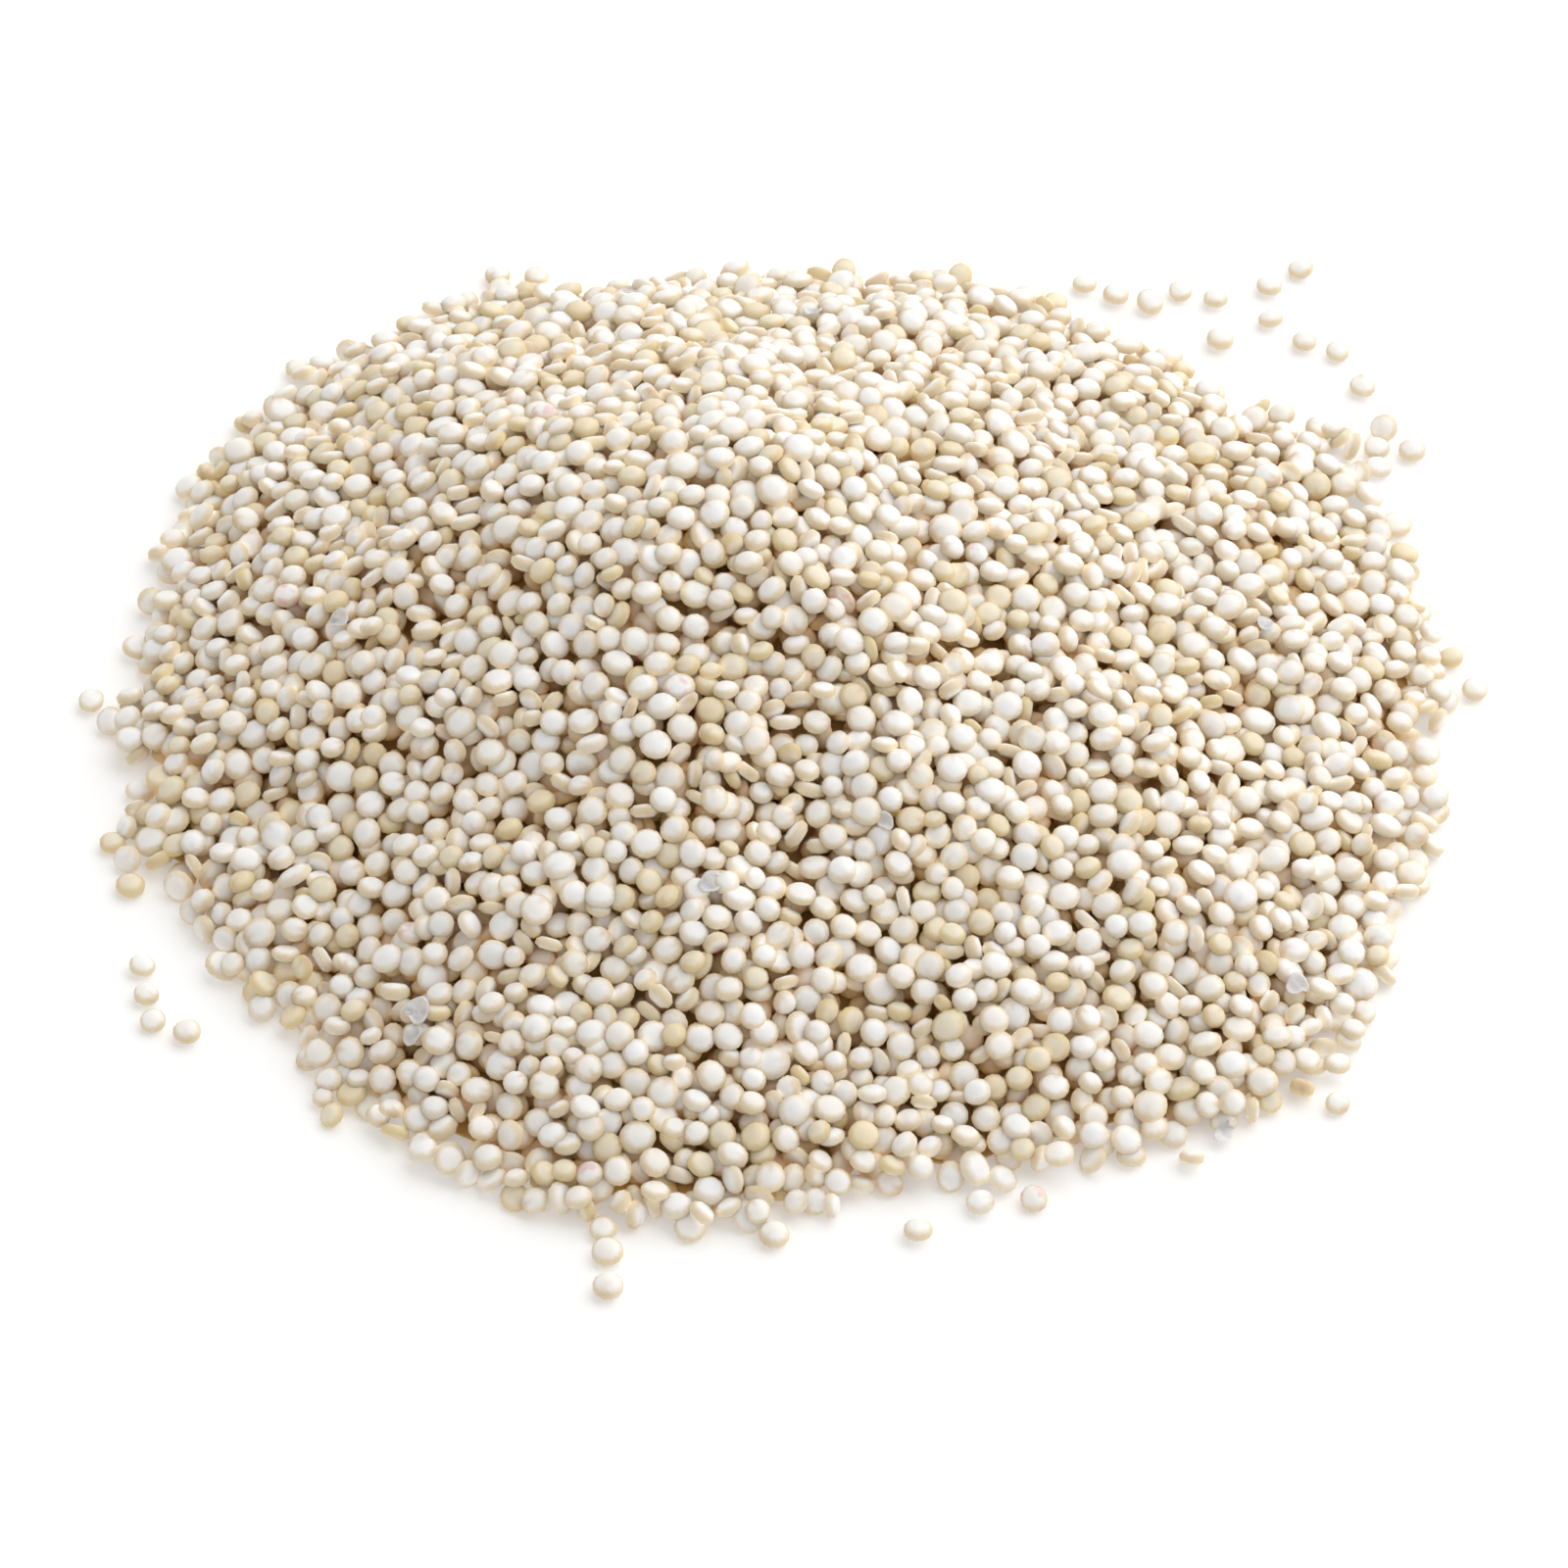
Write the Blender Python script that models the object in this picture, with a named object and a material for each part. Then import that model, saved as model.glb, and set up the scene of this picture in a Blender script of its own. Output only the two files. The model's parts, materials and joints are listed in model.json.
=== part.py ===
"""Heap of white quinoa grains on a level surface, with the stray grains that lie round it.

Metres, +Z up, +Y away from the side the photo was taken from. The origin is on the level surface,
under the middle of the heap's outline. The heap is one closed solid: a low mound whose surface has
one bump for each grain, with single grains of true size fused on along its uneven edge. Each stray
grain is a solid of its own.
"""

import bpy
import numpy as np
from mathutils import Vector
from mathutils.geometry import delaunay_2d_cdt

MM = 0.001

# The mound
OUTLINE_RADIUS = 50.2 * MM     # mean distance from the origin to the heap's edge
OUTLINE_LOBES = (              # uneven outline: waves round the heap, swing, bearing of a crest in degrees
    (1, 1.61 * MM, 104.2),
    (2, 0.80 * MM, -36.8),
    (3, 0.55 * MM, 17.9),
    (4, 1.00 * MM, -37.0),
    (5, 0.64 * MM, 34.0),
    (6, 0.84 * MM, 13.8),
)
SUMMIT = (-8.0 * MM, 8.0 * MM)   # where the highest point lies
HEAP_HEIGHT = 20.0 * MM          # core surface at the summit, above the level surface
EDGE_HEIGHT = 1.1 * MM           # about one grain lying flat
EDGE_WAVES = (                 # ragged edge: waves round the heap, swing, bearing of a crest in degrees
    (13, 0.40 * MM, 10.0),
    (19, 0.40 * MM, 4.0),
    (31, 0.35 * MM, 7.0),
)
EDGE_BULGES = (                # where the edge runs out or falls back: bearing, swing, half width in degrees
    (35.0, 2.6 * MM, 5.0),
    (49.0, -2.2 * MM, 6.0),
    (63.0, 1.5 * MM, 4.0),
    (103.0, -2.0 * MM, 6.0),
    (115.0, 1.6 * MM, 4.0),
    (-168.0, 2.0 * MM, 5.0),
    (-133.0, 1.5 * MM, 4.0),
    (-154.0, -1.0 * MM, 6.0),
)
SUMMIT_ROUNDING = 0.14           # share of the radius over which the top is rounded off
HOLLOW = (-30.5 * MM, -14.6 * MM)    # shallow dip at the left foot
HOLLOW_RADIUS = 8.0 * MM
HOLLOW_DEPTH = 1.2 * MM
WAVES = (                      # gentle unevenness of the slopes: bearing in degrees, length, swing, phase
    (20.0, 17.0 * MM, 0.30 * MM, 0.4),
    (75.0, 13.0 * MM, 0.24 * MM, 2.1),
    (130.0, 15.0 * MM, 0.26 * MM, 4.0),
    (165.0, 10.0 * MM, 0.18 * MM, 1.2),
)

# One grain: a thick disc with domed faces
GRAIN_WIDTH = 2.10 * MM
GRAIN_THICKNESS = 1.20 * MM
GRAIN_WIDTH_SPREAD = 0.20      # widths run from 10 % under to 10 % over
FACE_SHARE = 0.50              # flat middle of each face, as a share of the width

# Bumps of the mound
BUMP_PITCH = 2.84 * MM         # in plan, which is one grain and the gap beside it
PITCH_JITTER = 0.26
BUMP_RISE = 0.35 * MM
BUMP_SPREAD = 0.50 * MM
GAP_DEPTH = 0.85 * MM
EDGE_GAP_DEPTH = 0.15 * MM     # gaps beside the edge, where the layer is one grain thick
CORE_INSET = 1.2 * MM          # the core stops this far inside the edge, under the edge grains
EDGE_POINTS = 108
EDGE_ROUGHNESS = 0.55 * MM     # play of each point of the core's edge, in height and sideways
FOOT_INSET = 0.35 * MM         # the core's foot is drawn in under its edge

# Edge grains
EDGE_GRAINS = 112
EDGE_GRAIN_SIDES = 6
EDGE_REACH = (-1.5 * MM, -0.45 * MM)   # their middles, from the ragged edge
EDGE_PLAY = 0.45               # how far each strays from even spacing, as a share of it
EDGE_LIFT = 0.02 * MM          # their lowest point above the level surface, so no faces coincide
EDGE_TILT = 16.0               # degrees

# Stray grains, in mm from the origin: to the right (+X) and away (+Y)
STRAYS = (
    (22.7, 48.7), (25.1, 47.5), (27.7, 46.6), (30.1, 47.9), (32.8, 47.1), (37.0, 48.5),
    (39.5, 50.4), (37.0, 44.8), (33.0, 42.5), (39.5, 42.3), (42.0, 41.2), (43.8, 37.3),
    (44.6, 30.6), (47.3, 30.3), (50.9, 5.0), (39.1, -36.3), (-13.1, -50.4), (-13.0, -53.6),
    (-1.3, -48.8), (8.9, -48.4), (-52.2, 3.8), (-47.2, -22.9), (-46.8, -25.7), (-46.2, -28.3),
    (-43.7, -29.4), (-22.8, 49.7), (-19.8, 49.5),
)
STRAY_SIDES = 8
STRAY_TILT = 9.0
STRAY_GAP = 0.35 * MM          # least clear space between a stray grain and anything else

SEED = 7


def make_material(name, colour, roughness):
    """One plain material with its own base colour and roughness."""
    mat = bpy.data.materials.new(name)
    mat.use_nodes = True
    shader = next(n for n in mat.node_tree.nodes if n.type == "BSDF_PRINCIPLED")
    shader.inputs["Base Color"].default_value = (*colour, 1.0)
    shader.inputs["Roughness"].default_value = roughness
    return mat


def add_object(name, points, faces, mat):
    """A mesh object from points and faces, linked to the scene."""
    mesh = bpy.data.meshes.new(name)
    mesh.from_pydata([tuple(p) for p in points], [], [tuple(int(i) for i in f) for f in faces])
    mesh.materials.append(mat)
    mesh.validate()
    mesh.update()
    obj = bpy.data.objects.new(name, mesh)
    bpy.context.scene.collection.objects.link(obj)
    return obj


def outline_radius(bearing):
    """Distance from the origin to the heap's edge: the mean radius plus a cosine for each lobe."""
    radius = np.full_like(np.asarray(bearing, float), OUTLINE_RADIUS)
    for waves, swing, crest in OUTLINE_LOBES:
        radius = radius + swing * np.cos(waves * (bearing - np.radians(crest)))
    return radius


def edge_radius(bearing):
    """Distance to the ragged edge: the outline with a short cosine for each edge wave, and a bell-shaped
    swing for each bulge."""
    radius = outline_radius(bearing)
    for waves, swing, crest in EDGE_WAVES:
        radius = radius + swing * np.cos(waves * (bearing - np.radians(crest)))
    for crest, swing, width in EDGE_BULGES:
        turn = np.angle(np.exp(1j * (bearing - np.radians(crest))))
        radius = radius + swing * np.exp(-((turn / np.radians(width)) ** 2))
    return radius


def way_out(x, y):
    """0 at the summit and 1 at the outline. Its contours are the outline, shrunk towards the summit."""
    share = np.hypot(x, y) / outline_radius(np.arctan2(y, x))
    for _ in range(6):
        px = x - (1.0 - share) * SUMMIT[0]
        py = y - (1.0 - share) * SUMMIT[1]
        share = np.clip(np.hypot(px, py) / outline_radius(np.arctan2(py, px)), 0.0, 1.0)
    return share


def surface_height(x, y):
    """Height of the mound: a cone rounded at its top, with slow waves and one shallow hollow."""
    share = way_out(x, y)
    steep = np.sqrt(1.0 + SUMMIT_ROUNDING**2)
    cone = (steep - np.sqrt(share**2 + SUMMIT_ROUNDING**2)) / (steep - SUMMIT_ROUNDING)
    z = EDGE_HEIGHT + (HEAP_HEIGHT - EDGE_HEIGHT) * cone
    fade = np.clip((1.0 - share) * 6.0, 0.0, 1.0)
    for bearing, length, swing, phase in WAVES:
        along = x * np.cos(np.radians(bearing)) + y * np.sin(np.radians(bearing))
        z = z + fade * swing * np.sin(2.0 * np.pi * along / length + phase)
    away = ((x - HOLLOW[0]) ** 2 + (y - HOLLOW[1]) ** 2) / HOLLOW_RADIUS**2
    return z - fade * HOLLOW_DEPTH * np.exp(-away)


def ring_points(bearings, inset):
    """Points on the ragged edge, drawn in by the inset."""
    radius = edge_radius(bearings) - inset
    return np.column_stack([radius * np.cos(bearings), radius * np.sin(bearings)])


def bump_centres(rng):
    """Centres of the bumps: a hexagonal net with each point moved a little, inside the core's edge."""
    rows = int(2.4 * OUTLINE_RADIUS / (BUMP_PITCH * np.sqrt(0.75)))
    i, j = np.meshgrid(np.arange(-rows, rows + 1), np.arange(-rows, rows + 1), indexing="ij")
    x = (i + 0.5 * (j % 2)).ravel() * BUMP_PITCH
    y = j.ravel() * BUMP_PITCH * np.sqrt(0.75)
    move = rng.uniform(-1.0, 1.0, (x.size, 2)) * PITCH_JITTER * BUMP_PITCH
    x, y = x + move[:, 0], y + move[:, 1]
    inside = np.hypot(x, y) < edge_radius(np.arctan2(y, x)) - CORE_INSET - 0.6 * BUMP_PITCH
    return np.column_stack([x[inside], y[inside]])


def build_core(rng, mat):
    """The mound. The plan is cut into triangles between bump centres. The middle of each triangle is a
    low point, and each edge between two bumps gives way to the line between its two low points, so a
    bump is a facetted cone. A wall runs down from the edge ring to the flat underside."""
    centres = bump_centres(rng)
    bearings = np.arange(EDGE_POINTS) * 2.0 * np.pi / EDGE_POINTS
    ring_play = rng.uniform(-0.5, 0.5, (2, EDGE_POINTS)) * EDGE_ROUGHNESS
    ring = ring_points(bearings, CORE_INSET + ring_play[0])
    flat = [Vector(p) for p in np.vstack([ring, centres])]
    edges = [(k, (k + 1) % EDGE_POINTS) for k in range(EDGE_POINTS)]
    found, _, triangles, *_ = delaunay_2d_cdt(flat, edges, [], 1, 1e-9)
    plan = np.array([tuple(p) for p in found])
    triangles = [tuple(t) for t in triangles if len(t) == 3]

    on_ring = np.arange(len(plan)) < EDGE_POINTS
    rise = BUMP_RISE + rng.uniform(-0.5, 0.5, len(plan)) * BUMP_SPREAD
    top = surface_height(plan[:, 0], plan[:, 1]) + np.where(on_ring, 0.0, rise)
    top[:EDGE_POINTS] += ring_play[1]
    low = np.array([plan[list(t)].mean(0) for t in triangles])
    at_edge = np.array([min(t) < EDGE_POINTS for t in triangles])
    low_z = surface_height(low[:, 0], low[:, 1]) - np.where(at_edge, EDGE_GAP_DEPTH, GAP_DEPTH)
    points = np.vstack([np.column_stack([plan, top]), np.column_stack([low, low_z])])

    beside = {}
    for t, corners in enumerate(triangles):
        for k in range(3):
            beside[(corners[k], corners[(k + 1) % 3])] = len(plan) + t
    faces = []
    for (a, b), here in beside.items():
        there = beside.get((b, a))
        if there is None:
            faces.append((a, b, here))
        else:
            faces.append((a, there, here))

    start = len(points)
    foot = np.column_stack([ring_points(bearings, CORE_INSET + FOOT_INSET), np.zeros(EDGE_POINTS)])
    points = np.vstack([points, foot, [[0.0, 0.0, 0.0]]])
    middle = len(points) - 1
    for k in range(EDGE_POINTS):
        after = (k + 1) % EDGE_POINTS
        faces.append((k, start + k, start + after))
        faces.append((k, start + after, after))
        faces.append((middle, start + after, start + k))
    return add_object("quinoa_heap", points, faces, mat)


def grain_shape(width, thickness, sides):
    """A thick disc: a flat face below and above, and its widest ring at half height."""
    turn = np.arange(sides) * 2.0 * np.pi / sides
    rings = []
    for radius, z in ((0.5 * FACE_SHARE * width, -0.5 * thickness), (0.5 * width, 0.0),
                      (0.5 * FACE_SHARE * width, 0.5 * thickness)):
        rings.append(np.column_stack([radius * np.cos(turn), radius * np.sin(turn), np.full(sides, z)]))
    faces = [tuple(range(sides))[::-1], tuple(range(2 * sides, 3 * sides))]
    for level in range(2):
        for k in range(sides):
            a, b = level * sides + k, level * sides + (k + 1) % sides
            faces.append((a, b, b + sides, a + sides))
    return np.vstack(rings), faces


def place_grain(points, tilt, lean, spin, x, y, lift):
    """Spins the grain on its axis, tilts it towards the lean bearing and sets its lowest point at lift."""
    c, s = np.cos(spin), np.sin(spin)
    points = points @ np.array([[c, s, 0.0], [-s, c, 0.0], [0.0, 0.0, 1.0]])
    axis = np.array([-np.sin(lean), np.cos(lean), 0.0])
    along = points @ axis
    points = (points * np.cos(tilt) + np.cross(axis, points) * np.sin(tilt)
              + np.outer(along, axis) * (1.0 - np.cos(tilt)))
    return points + np.array([x, y, lift - points[:, 2].min()])


def random_grain(rng, sides, tilt_limit, x, y, lift):
    """One grain of a random width, tilt and heading at a place."""
    width = GRAIN_WIDTH * (1.0 + GRAIN_WIDTH_SPREAD * rng.uniform(-0.5, 0.5))
    thickness = GRAIN_THICKNESS * (1.0 + GRAIN_WIDTH_SPREAD * rng.uniform(-0.5, 0.5))
    points, faces = grain_shape(width, thickness, sides)
    tilt = np.radians(tilt_limit) * rng.uniform(0.0, 1.0)
    lean, spin = rng.uniform(0.0, 2.0 * np.pi, 2)
    return place_grain(points, tilt, lean, spin, x, y, lift), faces


def fuse_edge_grains(core, rng, strays, mat):
    """Grains along the edge, evenly spread with a little play and clear of the stray grains, joined to
    the core by one union."""
    group = bpy.data.collections.new("edge_grains")
    bpy.context.scene.collection.children.link(group)
    clear = GRAIN_WIDTH * (1.0 + 0.5 * GRAIN_WIDTH_SPREAD) + STRAY_GAP
    for k in range(EDGE_GRAINS):
        bearing = (k + rng.uniform(-EDGE_PLAY, EDGE_PLAY)) * 2.0 * np.pi / EDGE_GRAINS
        reach = edge_radius(bearing) + rng.uniform(*EDGE_REACH)
        x, y = reach * np.cos(bearing), reach * np.sin(bearing)
        points, faces = random_grain(rng, EDGE_GRAIN_SIDES, EDGE_TILT, x, y, EDGE_LIFT)
        if np.hypot(strays[:, 0] - x, strays[:, 1] - y).min() < clear:
            continue
        grain = add_object(f"edge_grain_{k:03d}", points, faces, mat)
        bpy.context.scene.collection.objects.unlink(grain)
        group.objects.link(grain)

    union = core.modifiers.new("edge_union", "BOOLEAN")
    union.operation = "UNION"
    union.operand_type = "COLLECTION"
    union.collection = group
    union.solver = "MANIFOLD"
    shapes = bpy.context.evaluated_depsgraph_get()
    joined = bpy.data.meshes.new_from_object(core.evaluated_get(shapes))
    core.modifiers.clear()
    core.data = joined
    core.data.name = core.name
    for grain in list(group.objects):
        bpy.data.objects.remove(grain)
    bpy.data.collections.remove(group)


def keep_largest_piece(obj):
    """Drops any loose scrap and any sealed hollow: only the connected surface with most faces stays."""
    mesh = obj.data
    owner = np.arange(len(mesh.vertices))
    ends = np.zeros(len(mesh.edges) * 2, np.int64)
    mesh.edges.foreach_get("vertices", ends)
    ends = ends.reshape(-1, 2)
    while True:
        least = np.minimum(owner[ends[:, 0]], owner[ends[:, 1]])
        new = owner.copy()
        np.minimum.at(new, ends[:, 0], least)
        np.minimum.at(new, ends[:, 1], least)
        new = new[new]
        if (new == owner).all():
            break
        owner = new
    main = np.bincount(owner).argmax()
    if (owner == main).all():
        return
    points = [tuple(v.co) for v in mesh.vertices if owner[v.index] == main]
    number = np.cumsum(owner == main) - 1
    faces = [tuple(number[i] for i in f.vertices) for f in mesh.polygons if owner[f.vertices[0]] == main]
    kept = bpy.data.meshes.new(obj.name)
    kept.from_pydata(points, [], [tuple(int(i) for i in f) for f in faces])
    kept.materials.append(mesh.materials[0])
    obj.data = kept


def main():
    for obj in list(bpy.data.objects):
        bpy.data.objects.remove(obj)
    rng = np.random.default_rng(SEED)
    quinoa = make_material("white_quinoa", (0.74, 0.64, 0.50), 0.6)
    core = build_core(rng, quinoa)
    strays = np.array(STRAYS) * MM
    fuse_edge_grains(core, rng, strays, quinoa)
    keep_largest_piece(core)
    for number, (x, y) in enumerate(strays, 1):
        points, faces = random_grain(rng, STRAY_SIDES, STRAY_TILT, x, y, 0.0)
        add_object(f"stray_grain_{number:02d}", points, faces, quinoa)


main()
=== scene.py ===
"""Heap of raw white quinoa: the loose grains, their colours, and the stage they are shown on.

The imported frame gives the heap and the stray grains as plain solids. Each grain of the surface is made
here as a mesh of its own and settled on the ones below it, and the heap's solid is replaced with them.
"""

import json

import bpy
import numpy as np
from bpy.props import FloatProperty, FloatVectorProperty, IntProperty, PointerProperty
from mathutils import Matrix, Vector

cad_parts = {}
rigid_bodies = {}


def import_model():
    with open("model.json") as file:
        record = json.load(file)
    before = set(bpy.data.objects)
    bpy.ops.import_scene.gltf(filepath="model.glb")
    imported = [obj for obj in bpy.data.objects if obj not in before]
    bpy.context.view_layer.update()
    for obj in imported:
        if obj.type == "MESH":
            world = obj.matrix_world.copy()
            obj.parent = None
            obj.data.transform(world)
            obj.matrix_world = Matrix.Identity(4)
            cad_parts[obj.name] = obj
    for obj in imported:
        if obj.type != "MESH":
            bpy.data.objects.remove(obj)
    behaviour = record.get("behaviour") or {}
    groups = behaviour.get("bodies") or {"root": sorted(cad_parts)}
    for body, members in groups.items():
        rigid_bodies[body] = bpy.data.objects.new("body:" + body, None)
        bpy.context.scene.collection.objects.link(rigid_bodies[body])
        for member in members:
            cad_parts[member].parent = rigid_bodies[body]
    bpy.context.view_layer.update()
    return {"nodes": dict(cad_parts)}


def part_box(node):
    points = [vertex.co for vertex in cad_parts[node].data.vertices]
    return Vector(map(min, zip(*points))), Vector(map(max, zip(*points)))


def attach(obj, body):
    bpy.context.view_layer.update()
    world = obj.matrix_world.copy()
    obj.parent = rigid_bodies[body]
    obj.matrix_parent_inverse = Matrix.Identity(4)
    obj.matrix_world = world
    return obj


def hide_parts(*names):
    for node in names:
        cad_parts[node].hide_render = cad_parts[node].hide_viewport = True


bl_info = {
    "name": "Quinoa heap",
    "version": (1, 0, 0),
    "blender": (4, 5, 0),
    "location": "3D View > Sidebar > Quinoa",
    "description": "Builds a heap of raw white quinoa grain by grain, with its stage",
    "category": "Add Mesh",
}

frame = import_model()
STRAY_NODES = sorted(name for name in frame["nodes"] if name.startswith("stray_grain_"))

MM = 0.001

# Waves round the heap's outline, as the solid has them: waves, swing in mm, bearing of a crest in degrees
OUTLINE_LOBES = (
    (1, 1.61, 104.2), (2, 0.80, -36.8), (3, 0.55, 17.9), (4, 1.00, -37.0), (5, 0.64, 34.0), (6, 0.84, 13.8),
)
EDGE_WAVES = ((13, 0.40, 10.0), (19, 0.40, 4.0), (31, 0.35, 7.0))
# Where the grains run out or fall back at the edge: bearing in degrees, swing in mm, half width in degrees
EDGE_BULGES = (
    (35.0, 2.6, 5.0), (49.0, -2.2, 6.0), (62.0, -1.9, 6.0), (103.0, -2.0, 6.0), (115.0, 1.6, 4.0),
    (-168.0, 2.0, 4.0), (-133.0, 1.5, 4.0), (-154.0, -1.0, 6.0), (-175.0, -2.8, 2.6), (178.5, 1.4, 2.2),
    (173.0, -1.4, 2.0),
)
# Gentle unevenness of the slopes, as the solid has it: bearing in degrees, length and swing in mm, phase
SLOPE_WAVES = (
    (20.0, 17.0, 0.30, 0.4), (75.0, 13.0, 0.24, 2.1), (130.0, 15.0, 0.26, 4.0), (165.0, 10.0, 0.18, 1.2),
)

# Kinds of grain: share of the heap, width and thickness against the common grain
GRAIN_KINDS = {
    "chalky_grains": (0.31, 1.03, 1.04),
    "milky_grains": (0.31, 1.01, 1.00),
    "cream_grains": (0.25, 0.99, 0.98),
    "tan_grains": (0.10, 0.96, 0.97),
    "golden_grains": (0.02, 0.96, 1.00),
    "blushed_grains": (0.004, 1.00, 1.00),
}
# Tinted grains that stand out, in mm from the middle
MARKED_GRAINS = {
    "golden_grains": (
        (-40.0, 19.2), (-40.9, -18.5), (18.8, 36.5), (6.0, -41.1), (-20.4, -17.1), (3.7, -8.7),
    ),
    "blushed_grains": ((-9.1, -9.1), (-27.9, -25.0), (-38.0, 6.9), (-17.1, 3.5)),
}
# Husk flakes on the heap, in mm from the middle, and their widths in mm
HUSK_FLAKES = (
    (-27.0, -31.6, 1.9), (-27.3, -33.3, 1.4), (-5.9, -24.6, 1.7), (36.5, -27.5, 1.7), (30.9, -39.5, 1.5),
    (6.8, -19.2, 1.2), (-33.5, 2.8, 1.5), (35.0, 5.2, 1.4), (1.6, 38.0, 1.3), (-12.7, 43.6, 1.5),
)

# Profile of one grain from pole to pole: distance from its axis and height, as shares of half its width
# and half its thickness
GRAIN_PROFILE = np.array([
    (0.0, 1.0), (0.70, 0.88), (0.98, 0.38), (0.98, -0.38), (0.70, -0.88), (0.0, -1.0),
])
GRAIN_SIDES = 12
SHAPE_COUNT = 14
# Radius of each ring of a grain in its cell of the map, from the upper pole to the lower one
MAP_RINGS = np.array([0.0, 0.34, 0.56, 0.74, 0.90, 1.0])
# Radius of the largest ring against the side of a cell
MAP_FILL = 0.47

# Crossing waves that rag the heap's edge and leave bare spots in it: radians per mm along x and y, phase
RAGGED_WAVES = ((1.13, 0.47, 1.0), (0.58, -1.21, 2.2), (1.74, 1.39, 4.1))
BARE_WAVES = ((0.93, 1.31, 0.5), (1.62, -0.84, 2.0), (-0.52, 1.93, 4.0))
RAGGED_SWING = 0.50
# A spot is bare where its waves add up to more than this, and it lies this close to the edge in mm
BARE_OVER = 1.25
BARE_BAND = 3.6
NO_ROOM = -9.0

# Grains are poured in rounds, each over a net of spots: pitch and half side in mm
POUR_ROUNDS = 26
SPOT_PITCH = 1.5
SPOT_HALF = 56.0
# Number of the rounds that come last, and how much further in grains sink then
LATE_ROUNDS = 9
LATE_NESTING = 2.1
# Places tried for each grain, and how far they scatter at first and then round the best one, in mm
TRIES = 8
FIRST_SCATTER = 0.42
NEXT_SCATTER = 0.22
# Grains lie near the slope, lean or stand on edge: spread of their axes, and share of the grains
LEANS = (0.28, 0.65, 1.8)
LEAN_SHARES = (0.38, 0.34, 0.28)
# Least gap in mm below the heap's height that still takes a grain
LEAST_GAP = 0.15
# How far a grain's top may stand over the heap's height in mm: mean and spread, and the most
PROUD = (0.42, 0.24)
PROUD_MOST = 1.0
# Room in mm inside the ragged edge that a grain needs at its spot, and then where it comes to rest
SPOT_ROOM = 0.9
REST_ROOM = 0.8
# Share of the spots outside the edge that get a lone grain in the first round, and how far out in mm
LONE_SHARE = 0.045
LONE_SPOT = -1.7
LONE_REST = -2.0
# Distance in mm inside the outline over which the grains' painted shade by depth comes in
PAINTED_SHADE_FADE = 4.0

# The core: points round it, its rings, how far it stays inside the edge and its least height in mm
CORE_SIDES = 180
CORE_RINGS = 40
CORE_INSET = 4.2
CORE_LEAST = 0.30
# Distance in mm inside the edge from which grains lie on the core
CORE_BEGINS = 3.5
# Underside of the core over the floor in mm
CORE_FOOT = 0.02

HUSK_SIDES = 18
HUSK_RINGS = 5
HUSK_THICKNESS = 0.05
# Rise of a husk's rim and of its crinkles, in mm
HUSK_CUP = 0.34
HUSK_CRINKLE = 0.11
# Share of a husk's points, in percent, that lie clear of the grains below, and the gap left in mm
HUSK_CLEAR = 88
HUSK_GAP = 0.03

# Face colour, rim colour and roughness of each kind of dried seed, with the name of its finish
FINISHES = {
    "chalky_grains": ("chalky_seed", "chalky_face", "pale_rim", 0.5),
    "milky_grains": ("milky_seed", "milky_face", "cream_rim", 0.5),
    "cream_grains": ("cream_seed", "cream_face", "cream_rim", 0.5),
    "tan_grains": ("tan_seed", "tan_face", "tan_rim", 0.45),
    "golden_grains": ("golden_seed", "golden_face", "tan_rim", 0.42),
    "blushed_grains": ("blushed_seed", "milky_face", "cream_rim", 0.5),
}

# Middle of the picture on the floor, in mm
LOOK_AT = (-0.60, -4.20)
PICTURE_PIXELS = 1600.0
SENSOR_MM = 36.0
# Main light: bearing and rise in degrees, distance and side in metres
KEY_BEARING = 42.0
KEY_RISE = 42.0
KEY_AWAY = 1.20
KEY_SIDE = 2.00
# The floor: sides, radii of its two rings in metres, and how far it lies below the heap
FLOOR_SIDES = 96
FLOOR_RADII = (0.3, 1.5)
FLOOR_DROP = 0.00002


def linear(code):
    """sRGB hex code to linear red, green and blue."""
    value = np.array([int(code[k:k + 2], 16) / 255.0 for k in (1, 3, 5)])
    return tuple(np.where(value <= 0.04045, value / 12.92, ((value + 0.055) / 1.055) ** 2.4))


def colour(label, code):
    """A colour setting with its sRGB default."""
    return FloatVectorProperty(name=label, description=f"Colour of the {label.lower()}", subtype="COLOR",
                               default=linear(code), size=3, min=0.0, max=1.0)


def length(label, what, millimetres):
    """A length setting whose default is given in millimetres."""
    return FloatProperty(name=label, description=what, default=millimetres * MM, unit="LENGTH", min=0.0)


def coordinate(label, what, millimetres):
    """A coordinate setting whose default is given in millimetres."""
    return FloatProperty(name=label, description=what, default=millimetres * MM, unit="LENGTH")


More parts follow.
